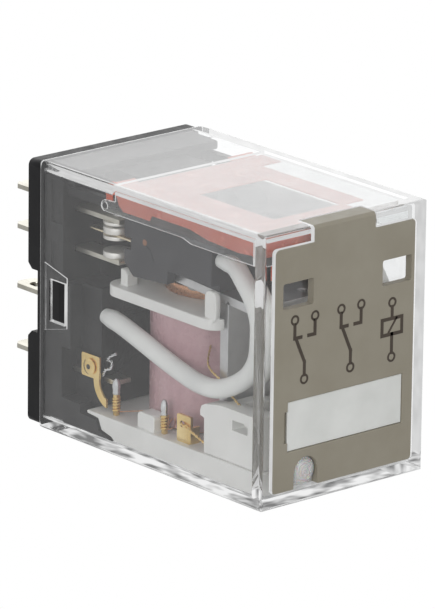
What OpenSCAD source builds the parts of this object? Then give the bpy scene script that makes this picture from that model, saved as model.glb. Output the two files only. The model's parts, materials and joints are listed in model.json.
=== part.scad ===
// Plug-in relay with two changeover poles in a clear case.
// Origin: centre of the face that seats on the socket.
// +Y points out of the blades, into the socket. The label faces -Y. +Z is up as the label reads.

/* [Case] */
// Width of the case
case_w = 21.2; // [21:0.1:21.5]
// Height of the case
case_h = 28; // [27.8:0.1:28.5]
// Depth of the case, from the socket's seat to the label face
case_l = 36; // [35.9:0.1:36.5]
// Thickness of the cover's side walls
wall = 0.9; // [0.7:0.05:0.9]
// Radius on the cover's outer edges
edge_r = 0.35; // [0.3:0.05:0.5]
// Thickness of the base's outer plate
flange_t = 1.95; // [1.7:0.05:2]

/* [Plug-in blades] */
// Width of a blade
blade_w = 2.6; // [2.4:0.1:2.8]
// Thickness of a blade
blade_t = 0.5; // [0.4:0.05:0.6]
// Length of a blade beyond the socket's seat
blade_l = 5.6; // [5:0.1:6.4]
// Distance between the two columns of blades
column_pitch = 13.2; // [13:0.1:13.4]
// Height of the normally closed row above the centre
nc_z = 9.3; // [9.2:0.05:9.3]
// Height of the normally open row above the centre
no_z = 5.1; // [4.9:0.05:5.2]
// Height of the common row
com_z = -1.2; // [-1.4:0.05:-1]
// Height of the coil row
coil_z = -7.6; // [-7.8:0.05:-7.5]

/* [Movement] */
// Angle that the armature turns between open and closed
armature_angle = 3.4; // [2.8:0.1:3.4]

/* [Coil] */
// Outer radius of the taped winding
coil_r = 6.8; // [6:0.1:6.8]
// Radius of the iron core
core_r = 3.1; // [2.8:0.1:3.2]

/* [Label face] */
// Width of the nameplate
plate_w = 18.2; // [17.8:0.1:18.4]
// Height of the nameplate
plate_h = 24.8; // [24.4:0.1:25]
// Width of the write-on label
card_w = 14.9; // [13:0.1:15]
// Height of the write-on label
card_h = 5; // [4:0.1:5.2]

/* [Hidden] */
$fn = 48;

fit = 0.02;           // clearance between pieces that are pressed or clipped together
loose = 0.2;          // clearance between the base and the cover
cut = 1;              // how far a cutting shape runs past the face it cuts

// Case
half_w = case_w / 2;
half_h = case_h / 2;
front_y = -case_l;
seam_y = -flange_t;
cavity_w = case_w - 2 * wall;
cavity_h = case_h - 2 * wall;
plate_t = 1;
front_wall = 0.8;
plate_back_y = front_y + plate_t;
cavity_front_y = plate_back_y + front_wall;
plate_z = -0.1;
roof_t = 0.65;         // the roof is thinner over the indicator lever
roof_step_y = -12.6;

// Base
seat_recess = 1.5;
recess_chamfer = 0.6;
flange_r = 0.7;
flange_h = case_h - 0.4;
recess_z = [-4.1, 2.4];
block_w = cavity_w - 2 * loose;
block_h = cavity_h - 2 * loose;
upper_face_y = -4.8;
lower_face_y = -6;
coil_wall_y = -9.1;
coil_wall_w = 16;
barrier_y = -10.8;
barrier_w = 9.2;
barrier_z = [3.2, 12.3];
ledge_y = -6.1;
coil_wall_z = [-10.3, 1.9];
side_pocket_y = -4.65;
side_pocket_z = [-10.2, -4.9];

// Snap latch of the base in the cover's window
latch_y = [-5.8, -3.4];
latch_z = [-2.4, 2];

// Contacts
column_x = column_pitch / 2;
contact_y = -9.8;
strip_end_y = -11.4;
contact_r = 1.45;
shank_r = 0.5;
spring_z = 7.7;
spring_t = 0.2;
spring_w = 1.8;
spring_tip_y = -6.4;

// Armature and yoke
yoke_t = 1.2;
yoke_w = 13.6;
yoke_top_z = 4.4;
yoke_foot_z = -13;
yoke_leg_y = -25.8;
yoke_foot_y = -12.9;
hinge = [0, yoke_leg_y - yoke_t, yoke_top_z + fit];
hinge_bead_r = 0.25;
hinge_bead_w = 11;
armature_t = 0.9;
armature_w = 13.8;
armature_y = [-30.9, -12.9];
air_gap_when_closed = 0.05;
contact_travel = (contact_y - hinge.y) * sin(armature_angle);

// Coil
coil_y = -17.65;
winding_z = [-10.5, 1.75];
tape_t = 0.15;
barrel_r = core_r + 0.8;
pole_r = 4.4;
pole_z = 2.95;
bobbin_top_z = 2.9;
top_flange_y = [-26.8, -9.8];
top_flange_w = 17;
rail_w = 18.6;
rail_z = [-12.95, -10.6];
rail_inner_w = yoke_w + 0.4;
floor_t = 0.45;
frame_end_y = -33.9;

// Return spring
return_spring_y = -29.2;
return_spring_z = [-2.95, 4.12];
return_spring_r = 1;
return_wire_r = 0.18;
return_turns = 9;

// Brass links beside the coil wall
link_x = [-8.45, -8.15];
link_rivet = [0, -7.95, -6.35];

// Light
lamp_x = -4.75;
lamp_z = -10.95;
lamp_r = 1.45;

// Indicator lever, above the contacts
pivot = [0, -11.35, 11.4];
pivot_pin_r = 0.3;
pivot_hole_r = 0.35;
pivot_boss_r = 0.6;
lever_t = 0.35;
lever_w = cavity_w - 0.2;
lever_top_z = 13.15;
lever_low_z = 10.45;
lever_back_y = -12.9;
lever_front_y = cavity_front_y + 0.25;
card_t = 0.14;
card_gap = 0.03;
window_z = [6.1, 8.7];
flag_low_z = 8.8;
window_left = [-8, -4.1];
window_right = [4.9, 8.7];

// Route of the sleeved lead on the -X side, from the common blade to the moving spring
lead_route = [
    [-7.6, -9.35, -0.9], [-7.8, -11.2, -1], [-8, -13.5, -1.4], [-8.1, -16.2, -2.1],
    [-8.1, -18.9, -2.9], [-8.1, -21.6, -3.6], [-8.1, -24.2, -4.1], [-8.1, -26.8, -4],
    [-7.9, -29.2, -3.1], [-7.7, -31.2, -1.6], [-7.6, -32.3, 0.2], [-7.6, -32.6, 2.3],
    [-7.6, -32.5, 4.3], [-7.5, -31.5, 6.1], [-7.4, -29.9, 7.7], [-7.1, -28.2, 8.7], [-7, -26.1, 8.8]
];
sleeve_r = 1;
sleeve_bore_r = 0.62;
braid_r = 0.55;
sleeve_sides = 12;
braid_sides = 8;
lead_steps = 2;

// ---------- helpers ----------

// A box between two corners
module block(low, high) translate(low) cube(high - low);

// Extrudes an X-Z outline along Y
module depth(back, front) translate([0, back, 0]) rotate([90, 0, 0])
    linear_extrude(height = back - front) children();

// Extrudes a Y-Z outline along X
module across(left, right) translate([left, 0, 0]) rotate([90, 0, 90])
    linear_extrude(height = right - left) children();

// Extrudes an X-Y outline along Z
module upward(low, high) translate([0, 0, low]) linear_extrude(height = high - low) children();

module rounded_rect(w, h, r) {
    square([w - 2 * r, h], center = true);
    square([w, h - 2 * r], center = true);
    for (x = [-1, 1], y = [-1, 1]) translate([x * (w / 2 - r), y * (h / 2 - r)]) circle(r);
}

// A rounded rectangle between two corners
module rounded_area(low, high, r) translate((low + high) / 2)
    rounded_rect(high.x - low.x, high.y - low.y, r);

module slot_outline(width, length) {
    square([width, length - width], center = true);
    for (end = [-1, 1]) translate([0, end * (length - width) / 2]) circle(d = width);
}

// Draws the children on the -X side for pole 1 and mirrored on the +X side for pole 2
module on_pole(pole) mirror([pole == 2 ? 1 : 0, 0, 0]) children();

module both_poles() for (pole = [1, 2]) on_pole(pole) children();

// A straight round rod between two points
module rod(start, end, r) {
    v = end - start;
    length = norm(v);
    translate(start) rotate([0, acos(v.z / length), atan2(v.y, v.x)]) cylinder(h = length, r = r, $fn = 16);
}

// Turns the children about the hinge by the armature's opening angle
module opened() translate(hinge) rotate([armature_angle, 0, 0]) translate(-hinge) children();

// One point of a smooth curve through the route's points
function curve_point(p, i, t) = let (
    a = p[max(i - 1, 0)], b = p[i], c = p[i + 1], d = p[min(i + 2, len(p) - 1)])
    0.5 * (2 * b + (c - a) * t + (2 * a - 5 * b + 4 * c - d) * t * t + (3 * b - a - 3 * c + d) * t * t * t);

function smooth_path(p, steps) = concat(
    [for (i = [0 : len(p) - 2], k = [0 : steps - 1]) curve_point(p, i, k / steps)], [p[len(p) - 1]]);

function unit(v) = v / norm(v);

function path_tangent(p, i) = unit(p[min(i + 1, len(p) - 1)] - p[max(i - 1, 0)]);

// A ring of points round the path. No part of the path runs along the axis given as side.
function path_ring(p, i, r, sides, side) = let (
    t = path_tangent(p, i), v = unit(cross(t, side)), u = cross(v, t))
    [for (k = [0 : sides - 1]) p[i] + r * (cos(360 * k / sides) * u + sin(360 * k / sides) * v)];

// A round solid swept along a path
module swept_rod(p, r, sides, side = [1, 0, 0]) {
    rings = len(p);
    points = [for (i = [0 : rings - 1]) each path_ring(p, i, r, sides, side)];
    skin = [for (i = [0 : rings - 2], k = [0 : sides - 1])
        let (n = (k + 1) % sides, a = i * sides, b = a + sides)
        each [[a + k, b + k, b + n], [a + k, b + n, a + n]]];
    start_cap = [for (k = [0 : sides - 1]) k];
    end_cap = [for (k = [sides - 1 : -1 : 0]) (rings - 1) * sides + k];
    polyhedron(points, concat(skin, [start_cap, end_cap]), convexity = 10);
}

// A round tube swept along a path, open at both ends
module swept_tube(p, outer_r, inner_r, sides) {
    side = [1, 0, 0];
    rings = len(p);
    inner = rings * sides;
    points = concat([for (i = [0 : rings - 1]) each path_ring(p, i, outer_r, sides, side)],
        [for (i = [0 : rings - 1]) each path_ring(p, i, inner_r, sides, side)]);
    last = (rings - 1) * sides;
    outer_skin = [for (i = [0 : rings - 2], k = [0 : sides - 1])
        let (n = (k + 1) % sides, a = i * sides, b = a + sides) [a + k, b + k, b + n, a + n]];
    inner_skin = [for (i = [0 : rings - 2], k = [0 : sides - 1])
        let (n = (k + 1) % sides, a = inner + i * sides, b = a + sides) [a + k, a + n, b + n, b + k]];
    start_lip = [for (k = [0 : sides - 1]) let (n = (k + 1) % sides) [k, n, inner + n, inner + k]];
    end_lip = [for (k = [0 : sides - 1]) let (n = (k + 1) % sides)
        [last + k, inner + last + k, inner + last + n, last + n]];
    polyhedron(points, concat(outer_skin, inner_skin, start_lip, end_lip), convexity = 10);
}

// ---------- case ----------

// The outer form of the cover, rounded on every edge but those at the seam
module cover_form() {
    reach = seam_y + 2 * edge_r - front_y;
    intersection() {
        depth(seam_y, front_y) rounded_rect(case_w, case_h, edge_r);
        across(-case_w, case_w) translate([front_y + reach / 2, 0]) rounded_rect(reach, case_h, edge_r);
        upward(-case_h, case_h) translate([0, front_y + reach / 2]) rounded_rect(case_w, reach, edge_r);
    }
}

tab_x = [-4.15, 3.85];
tab_t = 0.45;
tab_back_y = front_y + 2.35;

module cover() {
    pocket = 0.05;
    ramp = [[seam_y - 0.3, 3.45], [latch_y[0], 2.55], [latch_y[0], -2.75], [seam_y - 0.3, -3.65]];
    ramp_depth = 0.3;
    color([0.9, 0.93, 0.95, 0.25]) difference() {
        cover_form();
        depth(seam_y + cut, cavity_front_y) rounded_rect(cavity_w, cavity_h, 0.5);
        block([-cavity_w / 2, cavity_front_y, half_h - wall - cut],
            [cavity_w / 2, roof_step_y, half_h - roof_t]);
        // pocket for the nameplate, and the notch that its tab folds over
        depth(plate_back_y, front_y - cut) translate([0, plate_z])
            rounded_rect(plate_w + 2 * pocket, plate_h + 2 * pocket, 0.5);
        block([tab_x[0] - pocket, front_y - cut, half_h - tab_t - 2 * pocket],
            [tab_x[1] + pocket, tab_back_y + pocket, half_h + cut]);
        block([tab_x[0] - pocket, front_y - cut, plate_z + plate_h / 2 - 1],
            [tab_x[1] + pocket, plate_back_y, half_h + cut]);
        // hole for the lamp's lens
        translate([lamp_x, plate_back_y - cut, lamp_z]) rotate([-90, 0, 0])
            cylinder(h = front_wall + 2 * cut, r = lamp_r + pocket);
        // windows that the base's latches snap into, with a lead-in ramp on the inside
        both_poles() {
            block([-half_w - cut, latch_y[0], latch_z[0]], [-cavity_w / 2 + cut, latch_y[1], latch_z[1]]);
            across(-cavity_w / 2 - ramp_depth, -cavity_w / 2 + cut) polygon(ramp);
        }
    }
}

module nameplate() {
    face_y = front_y + 0.05;
    card_recess = 0.4;
    card_x = 0.3;
    card_z = -5.95;
    thumb = [0.5, 3.2];
    top_z = plate_z + plate_h / 2;
    color([0.52, 0.5, 0.44]) difference() {
        union() {
            depth(plate_back_y, face_y) translate([0, plate_z]) rounded_rect(plate_w, plate_h, 0.45);
            across(tab_x[0], tab_x[1]) polygon([
                [face_y, top_z - 1], [face_y, half_h - 0.35], [face_y + 0.3, half_h - 0.05],
                [tab_back_y, half_h - 0.05], [tab_back_y, half_h - tab_t - 0.05],
                [plate_back_y, half_h - tab_t - 0.05], [plate_back_y, top_z - 1]]);
        }
        for (w = [window_left, window_right]) depth(plate_back_y + cut, front_y - cut)
            rounded_area([w[0], window_z[0]], [w[1], window_z[1]], 0.2);
        // shallow seat for the write-on label, with a thumb notch at its left end
        depth(face_y + card_recess, front_y - cut) {
            translate([card_x, card_z]) square([card_w + 0.1, card_h + 0.1], center = true);
            translate([card_x - card_w / 2 - thumb.x, card_z - thumb.y / 2]) square(thumb);
        }
        // notch for the lamp's lens, open at the plate's lower edge
        depth(plate_back_y + cut, front_y - cut) {
            translate([lamp_x, lamp_z]) circle(lamp_r + 0.1);
            translate([lamp_x - lamp_r - 0.1, -half_h]) square([2 * lamp_r + 0.2, half_h + lamp_z]);
        }
    }
}

module write_on_label() {
    color("white") depth(front_y + 0.45, front_y + 0.2) translate([0.3, -5.95])
        square([card_w, card_h], center = true);
}

module led_lens() {
    dome_y = front_y + 0.3;
    cap_h = 0.55;
    cap_r = (lamp_r * lamp_r + cap_h * cap_h) / (2 * cap_h);
    color([0.95, 0.96, 0.97, 0.5]) translate([lamp_x, 0, lamp_z]) rotate([90, 0, 0]) {
        translate([0, 0, -cavity_front_y]) cylinder(h = cavity_front_y - dome_y - 0.2, r = lamp_r);
        intersection() {
            translate([0, 0, -dome_y - 0.25]) cylinder(h = cap_h, r = lamp_r);
            translate([0, 0, -dome_y - 0.25 + cap_h - cap_r]) sphere(cap_r);
        }
    }
}

// ---------- base ----------

module blade_slots() {
    for (z = [nc_z, no_z, com_z, coil_z]) both_poles()
        block([-column_x - blade_w / 2 - fit, barrier_y - cut, z - blade_t / 2 - fit],
            [-column_x + blade_w / 2 + fit, cut, z + blade_t / 2 + fit]);
}

module base() {
    foot = [[lower_face_y + cut, -10.2], [-7.6, -10.2], [-7.6, -11.15], [-10.1, -11.25],
        [-10.5, -12.3], [-12.1, -12.7], [-12.5, -13], [lower_face_y + cut, -13]];
    wall_top = coil_wall_z[1] - cut;
    barrier = [[upper_face_y + cut, wall_top], [coil_wall_y, wall_top], [coil_wall_y, barrier_z[0]],
        [barrier_y, barrier_z[0]], [barrier_y, barrier_z[1]], [upper_face_y + cut, barrier_z[1]]];
    recess = [[-seat_recess, recess_z[0]], [-recess_chamfer, recess_z[0]],
        [cut, recess_z[0] - recess_chamfer - cut], [cut, recess_z[1] + recess_chamfer + cut],
        [-recess_chamfer, recess_z[1]], [-seat_recess, recess_z[1]]];
    finger_x = [-8.9, -8.1];
    color([0.16, 0.16, 0.17]) difference() {
        union() {
            depth(0, seam_y) rounded_rect(case_w, flange_h, flange_r);
            depth(seam_y + cut, upper_face_y) rounded_rect(block_w, block_h, 0.5);
            depth(upper_face_y + cut, lower_face_y) rounded_area([-block_w / 2, -block_h / 2],
                [block_w / 2, coil_wall_z[1]], 0.5);
            depth(lower_face_y + cut, coil_wall_y) rounded_area([-coil_wall_w / 2, coil_wall_z[0]],
                [coil_wall_w / 2, coil_wall_z[1]], 0.3);
            depth(upper_face_y + cut, ledge_y) rounded_area([-block_w / 2 + 0.4, barrier_z[1] - 0.3],
                [block_w / 2 - 0.4, block_h / 2], 0.2);
            across(-barrier_w / 2, barrier_w / 2) polygon(barrier);
            across(-block_w / 2, block_w / 2) polygon(foot);
            both_poles() {
                // latch, with a lead-in on the side that enters the cover first
                upward(latch_z[0] + 0.15, latch_z[1] - 0.15) polygon([
                    [-block_w / 2 + cut, latch_y[1] - 0.1], [-half_w + 0.3, latch_y[1] - 0.1],
                    [-half_w + 0.3, latch_y[0] + 1.2], [-block_w / 2, latch_y[0] + 0.1],
                    [-block_w / 2 + cut, latch_y[0] + 0.1]]);
                // arm that carries the indicator lever's pivot pin
                across(finger_x[0], finger_x[1]) rounded_area([pivot.y - 0.5, pivot.z - 0.5],
                    [upper_face_y + cut, pivot.z + 0.45], 0.4);
                translate([-lever_w / 2, pivot.y, pivot.z]) rotate([0, 90, 0])
                    cylinder(h = lever_w / 2 + finger_x[1], r = pivot_pin_r);
            }
        }
        across(-half_w - cut, half_w + cut) polygon(recess);
        blade_slots();
        both_poles() {
            block([-half_w, lower_face_y - cut, side_pocket_z[0]],
                [-coil_wall_w / 2 + 0.4, side_pocket_y, side_pocket_z[1]]);
            // sink marks on the block's sides, beside the two upper rows
            for (z = [[7.8, 12.2], [2.4, 5.8]])
                block([-half_w, -4.5, z[0]], [-block_w / 2 + 0.25, -2.9, z[1]]);
            // shaft of the rivet that holds the coil link
            translate([-half_w, link_rivet.y, link_rivet.z]) rotate([0, 90, 0])
                cylinder(h = 4, r = shank_r + fit);
        }
    }
}

// ---------- terminals and contacts ----------

// Outline of a blade, from its tip in the socket to its inner end
module blade_outline(inner_y, inner_w) {
    tip = 0.55;
    half = [[inner_w / 2, inner_y], [inner_w / 2, seam_y], [blade_w / 2, seam_y],
        [blade_w / 2, blade_l - tip], [blade_w / 2 - tip, blade_l]];
    difference() {
        polygon(concat(half, [for (i = [len(half) - 1 : -1 : 0]) [-half[i].x, half[i].y]]));
        translate([0, blade_l - 2.4]) slot_outline(1.2, 2.2);
    }
}

module blade(z, inner_y, inner_w) translate([-column_x, 0, 0])
    upward(z - blade_t / 2, z + blade_t / 2) blade_outline(inner_y, inner_w);

module contact_strip(z) difference() {
    blade(z, strip_end_y, 2.3);
    translate([-column_x, contact_y, z - blade_t]) cylinder(h = 2 * blade_t, r = shank_r + fit);
}

module nc_terminal(pole) color([0.8, 0.8, 0.76]) on_pole(pole) contact_strip(nc_z);
module no_terminal(pole) color([0.8, 0.8, 0.76]) on_pole(pole) contact_strip(no_z);

// The common blade carries the lead's braid on its inner end, beyond the base's wall
module com_terminal(pole) color([0.8, 0.8, 0.76]) on_pole(pole) blade(com_z, coil_wall_y - 0.2, 2);

module coil_terminal(pole) color([0.8, 0.8, 0.76]) on_pole(pole) blade(coil_z, coil_wall_y - 1.8, 2);

// A contact's head with a crowned face, from its seat on the strip to its crown
module contact_head(height) {
    crown = 0.12;
    crown_r = (contact_r * contact_r + crown * crown) / (2 * crown);
    intersection() {
        cylinder(h = height, r = contact_r);
        translate([0, 0, height - crown_r]) sphere(crown_r, $fn = 96);
    }
}

moving_head_up = 0.8;
moving_head_down = 0.5;
crown_gap = 0.01;
nc_crown_z = spring_z + spring_t / 2 + moving_head_up + crown_gap;
no_crown_z = spring_z - spring_t / 2 - moving_head_down - contact_travel - 0.03;

module nc_contacts() {
    seat_z = nc_z - blade_t / 2;
    color([0.85, 0.85, 0.82]) both_poles() translate([-column_x, contact_y, seat_z]) {
        mirror([0, 0, 1]) contact_head(seat_z - nc_crown_z);
        cylinder(h = blade_t, r = shank_r);
    }
}

module no_contacts() {
    seat_z = no_z + blade_t / 2;
    color([0.85, 0.85, 0.82]) both_poles() translate([-column_x, contact_y, seat_z]) {
        contact_head(no_crown_z - seat_z);
        translate([0, 0, -blade_t]) cylinder(h = blade_t, r = shank_r);
    }
}

carrier_y = [-26, -12.7];
carrier_w = 16.4;
carrier_top_z = 10.6;
spring_root_y = carrier_y[0] + 0.6;

module moving_spring(pole) {
    color([0.83, 0.72, 0.45]) on_pole(pole) difference() {
        upward(spring_z - spring_t / 2, spring_z + spring_t / 2)
            rounded_area([-column_x - spring_w / 2, spring_root_y],
                [-column_x + spring_w / 2, spring_tip_y], 0.3);
        translate([-column_x, contact_y, spring_z - 1]) cylinder(h = 2, r = shank_r + fit);
    }
}

module moving_contacts() {
    color([0.85, 0.85, 0.82]) both_poles() translate([-column_x, contact_y, spring_z]) {
        translate([0, 0, spring_t / 2]) contact_head(moving_head_up);
        translate([0, 0, -spring_t / 2]) cylinder(h = spring_t, r = shank_r);
        mirror([0, 0, 1]) translate([0, 0, spring_t / 2]) contact_head(moving_head_down);
    }
}

cam_x = [-0.8, 2.7];
cam_top_z = lever_top_z - lever_t - card_gap - card_t - 0.08;
rivet_x = 5.8;
rivet_y = -21;
carrier_rivet_r = 0.6;

// The moulded block that rides on the armature and holds both moving springs
module contact_carrier() {
    body_w = 2 * 7.05;
    lip_y = carrier_y[0] - 2;
    // side view of the block, with a skirt that reaches down beside the armature
    side = [[carrier_y[1], 5.7], [carrier_y[1], carrier_top_z - 0.5], [carrier_y[1] - 0.5, carrier_top_z],
        [lip_y, carrier_top_z], [lip_y, 10], [carrier_y[0], 10], [carrier_y[0], 6.2],
        [-19.4, 6.2], [-19.3, 4.85], [-14.1, 4.45]];
    // stop that lifts the indicator lever, with a sloping face on the label side
    cam = [[-17.7, carrier_top_z - cut], [-17.7, cam_top_z], [-19.9, cam_top_z - 0.15], [-21.2, 11.4],
        [-21.2, carrier_top_z - cut]];
    color([0.3, 0.3, 0.32]) difference() {
        union() {
            across(-carrier_w / 2, carrier_w / 2) polygon(side);
            block([-body_w / 2, carrier_y[0], 0], [body_w / 2, carrier_y[1], 8]);
            across(cam_x[0], cam_x[1]) polygon(cam);
        }
        // underside, seated on the armature
        opened() block([-body_w / 2 - fit, carrier_y[0] - cut, -cut * 6],
            [body_w / 2 + fit, carrier_y[1] + cut, hinge.z + armature_t + fit]);
        both_poles() {
            block([-column_x - spring_w / 2 - fit, spring_root_y - fit, spring_z - spring_t / 2 - fit],
                [-column_x + spring_w / 2 + fit, carrier_y[1] + cut, spring_z + spring_t / 2 + fit]);
            // way in for the lead's braid, at the root of the spring
            translate([-7, carrier_y[0] - cut, 8.8]) rotate([-90, 0, 0]) cylinder(h = cut + 1, r = 0.7);
            opened() translate([-rivet_x, rivet_y, 0]) cylinder(h = hinge.z + armature_t + 1.5,
                r = carrier_rivet_r + fit);
            // relief beside the springs' free length
            block([-half_w, carrier_y[1] - 1, spring_z - 0.6],
                [-column_x + spring_w / 2 + 0.4, carrier_y[1] + cut, spring_z + 0.6]);
        }
        block([-1.2, lip_y - cut, carrier_top_z - 0.6], [1.2, -22.5, carrier_top_z + cut]);
    }
}

// ---------- magnet ----------

module armature() {
    color([0.75, 0.76, 0.78]) opened() difference() {
        upward(hinge.z, hinge.z + armature_t) difference() {
            rounded_area([-armature_w / 2, armature_y[0]], [armature_w / 2, armature_y[1]], 0.6);
            both_poles() translate([-rivet_x, rivet_y]) circle(carrier_rivet_r + fit);
            translate([0, return_spring_y]) circle(0.5);
        }
        // groove that rocks on the yoke's bead
        translate([-half_w, hinge.y, hinge.z]) rotate([0, 90, 0])
            cylinder(h = case_w, r = hinge_bead_r + fit);
        // bevel under the front edge
        translate([0, armature_y[1], hinge.z]) rotate([20, 0, 0])
            block([-half_w, -2, -cut], [half_w, 2, 0]);
    }
}

module carrier_rivets() {
    color([0.7, 0.7, 0.68]) opened() both_poles() translate([-rivet_x, rivet_y, hinge.z]) {
        cylinder(h = armature_t + 1.3, r = carrier_rivet_r);
        translate([0, 0, -0.35]) cylinder(h = 0.35 - fit, r1 = 0.8, r2 = 1);
        translate([0, 0, -0.05]) cylinder(h = 0.1, r = carrier_rivet_r);
    }
}

module return_spring() {
    steps = 14;
    z_low = return_spring_z[0] + return_wire_r;
    rise = return_spring_z[1] - return_spring_z[0] - 2 * return_wire_r;
    helix = [for (i = [0 : return_turns * steps]) let (a = 360 * i / steps)
        [return_spring_r * cos(a), return_spring_y + return_spring_r * sin(a),
        z_low + rise * i / (return_turns * steps)]];
    color([0.8, 0.8, 0.8]) swept_rod(helix, return_wire_r, 6, [0, 0, 1]);
}

module yoke() {
    bend_r = 0.9;
    lug_x = 1.2;
    lug_z = -3;
    bead = hinge_bead_w / 2;
    color([0.62, 0.63, 0.65]) difference() {
        union() {
            across(-yoke_w / 2, yoke_w / 2) polygon([
                [yoke_foot_y, yoke_foot_z], [hinge.y + bend_r, yoke_foot_z],
                [hinge.y, yoke_foot_z + bend_r], [hinge.y, yoke_top_z], [yoke_leg_y, yoke_top_z],
                [yoke_leg_y, yoke_foot_z + yoke_t], [yoke_foot_y, yoke_foot_z + yoke_t]]);
            // round bead on the leg's top corner, on which the armature turns
            translate([-bead, hinge.y, hinge.z]) rotate([0, 90, 0]) cylinder(h = 2 * bead, r = hinge_bead_r);
            block([-lug_x, return_spring_y - return_spring_r - 0.3, lug_z - 0.6],
                [lug_x, hinge.y + 0.5, lug_z]);
        }
        translate([0, coil_y, yoke_foot_z - cut]) cylinder(h = 2 * yoke_t + cut, r = 2.4 + fit);
    }
}

module core() {
    color([0.72, 0.73, 0.75]) translate([0, coil_y, 0]) {
        translate([0, 0, yoke_foot_z]) cylinder(h = yoke_t + cut, r = 2.4);
        translate([0, 0, yoke_foot_z + yoke_t]) cylinder(h = pole_z - yoke_foot_z - yoke_t, r = core_r);
        translate([0, 0, pole_z]) cylinder(h = yoke_top_z - air_gap_when_closed - pole_z, r = pole_r);
    }
}

module shading_ring() {
    color([0.72, 0.43, 0.28]) translate([0, coil_y, pole_z]) difference() {
        cylinder(h = 1.1, r = 5.4);
        translate([0, 0, -cut]) cylinder(h = 4, r = pole_r + fit);
    }
}

module bobbin() {
    notch = rail_inner_w / 2;
    lug_x = [-8.1, -7.45];
    side = [[-8.45, rail_z[1]], [-8.45, -10.95], [-10.2, -11.1], [-10.7, -12.2], [-12.2, -12.55],
        [-12.8, rail_z[0]], [frame_end_y, rail_z[0]], [frame_end_y, rail_z[1]]];
    color([0.92, 0.92, 0.9]) difference() {
        union() {
            upward(winding_z[1], bobbin_top_z) rounded_area([-top_flange_w / 2, top_flange_y[0]],
                [top_flange_w / 2, top_flange_y[1]], 1.8);
            translate([0, coil_y, winding_z[0] - 0.2])
                cylinder(h = winding_z[1] - winding_z[0] + 0.4, r = barrel_r);
            across(-rail_w / 2, rail_w / 2) polygon(side);
            both_poles() {
                // upright lugs beside the armature's hinge, and stubs under its free end
                across(lug_x[0], lug_x[1]) rounded_area([-26.6, bobbin_top_z - 0.4], [-24.9, 5.75], 0.8);
                across(-7.6, -6.2) polygon([[-11.5, bobbin_top_z - 0.4], [-11.5, 4.6], [-12.1, 4.6],
                    [-12.55, 4.1], [-12.55, bobbin_top_z - 0.4]]);
                // guide between the two wire posts
                across(-8.9, -7.2) rounded_area([-18.4, rail_z[1] - 0.6], [-15.8, -8.9], 0.5);
            }
        }
        // way for the core, the yoke's foot and the yoke's leg
        translate([0, coil_y, rail_z[0] - cut]) cylinder(h = 20, r = core_r + fit);
        block([-notch, yoke_leg_y - 0.1, rail_z[0] - cut],
            [notch, -6, yoke_foot_z + yoke_t + 0.05]);
        block([-notch, hinge.y - 0.1, rail_z[0] - cut], [notch, yoke_leg_y + 0.1, bobbin_top_z + cut]);
        // tray behind the label for the lamp and its resistor
        block([-notch, frame_end_y + 0.5, rail_z[0] + floor_t], [notch, hinge.y - 0.6, rail_z[1] + cut]);
        translate([lamp_x, frame_end_y - cut, lamp_z]) rotate([-90, 0, 0]) cylinder(h = 2, r = lamp_r + 0.1);
    }
}

module coil_winding() {
    color([0.7, 0.42, 0.28]) translate([0, coil_y, winding_z[0]]) difference() {
        cylinder(h = winding_z[1] - winding_z[0] - 0.04, r = coil_r - tape_t, $fn = 96);
        translate([0, 0, -cut]) cylinder(h = 20, r = barrel_r + fit);
    }
}

module coil_tape() {
    color([0.68, 0.58, 0.6]) translate([0, coil_y, winding_z[0] + 0.1]) difference() {
        cylinder(h = winding_z[1] - winding_z[0] - 0.2, r = coil_r, $fn = 96);
        translate([0, 0, -cut]) cylinder(h = 20, r = coil_r - tape_t + fit / 2, $fn = 96);
    }
}

// ---------- coil and lamp wiring ----------

// Brass link from the coil blade down to the bobbin's post
module coil_link(pole) {
    tail_r = 2.8;
    tail_w = 0.85;
    tail_centre = [-8.4 - tail_r, -7.5];
    color([0.85, 0.7, 0.35]) on_pole(pole) difference() {
        across(link_x[0], link_x[1]) {
            rounded_area([-9.3, -7.55], [-6.5, -5.1], 0.25);
            intersection() {
                translate(tail_centre) difference() {
                    circle(tail_r);
                    circle(tail_r - tail_w);
                }
                translate([-10.4, -10.4]) square([3, 3]);
            }
        }
        translate([-half_w, link_rivet.y, link_rivet.z]) rotate([0, 90, 0])
            cylinder(h = 4, r = shank_r + fit);
    }
}

module link_rivets() {
    head = [link_x[0], link_rivet.y, link_rivet.z];
    color([0.82, 0.8, 0.7]) both_poles() translate(head) rotate([0, 90, 0]) {
        cylinder(h = 1.8, r = shank_r);
        translate([0, 0, -0.3]) cylinder(h = 0.3 - fit / 2, r1 = 0.6, r2 = 0.85);
        translate([0, 0, -0.05]) cylinder(h = 0.1, r = shank_r);
    }
}

post_x = -8.2;
post_w = 0.5;
post_top_z = -8.2;
post_ys = [-11.75, -19.2];

module wire_posts() {
    color([0.85, 0.7, 0.35]) both_poles() for (y = post_ys)
        block([post_x - post_w / 2, y - post_w / 2, rail_z[1] + 0.01],
            [post_x + post_w / 2, y + post_w / 2, post_top_z]);
}

// Solder drawn over the top of each post
module solder_caps() {
    color([0.78, 0.79, 0.8]) both_poles() for (y = post_ys) translate([post_x, y, post_top_z + 0.01]) {
        cylinder(h = 1, r1 = 0.5, r2 = 0.3);
        translate([0, 0, 1]) sphere(0.3, $fn = 24);
    }
}

// The ends of the winding's wire, from the coil to the two inner posts
module coil_wires() {
    color([0.7, 0.42, 0.28]) both_poles()
        rod([post_x + post_w / 2 + 0.08, -19.15, -10], [-6.88, -18.8, -9.4], 0.07);
}

holder_x = [-9, -1.2];
holder_y = [frame_end_y + 0.55, hinge.y - 0.65];
holder_z = [rail_z[0] + floor_t + 0.03, -5.3];
clip_y = [-23.6, -21.5];
clip_hole = [0, -22.3, -8.7];

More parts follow.
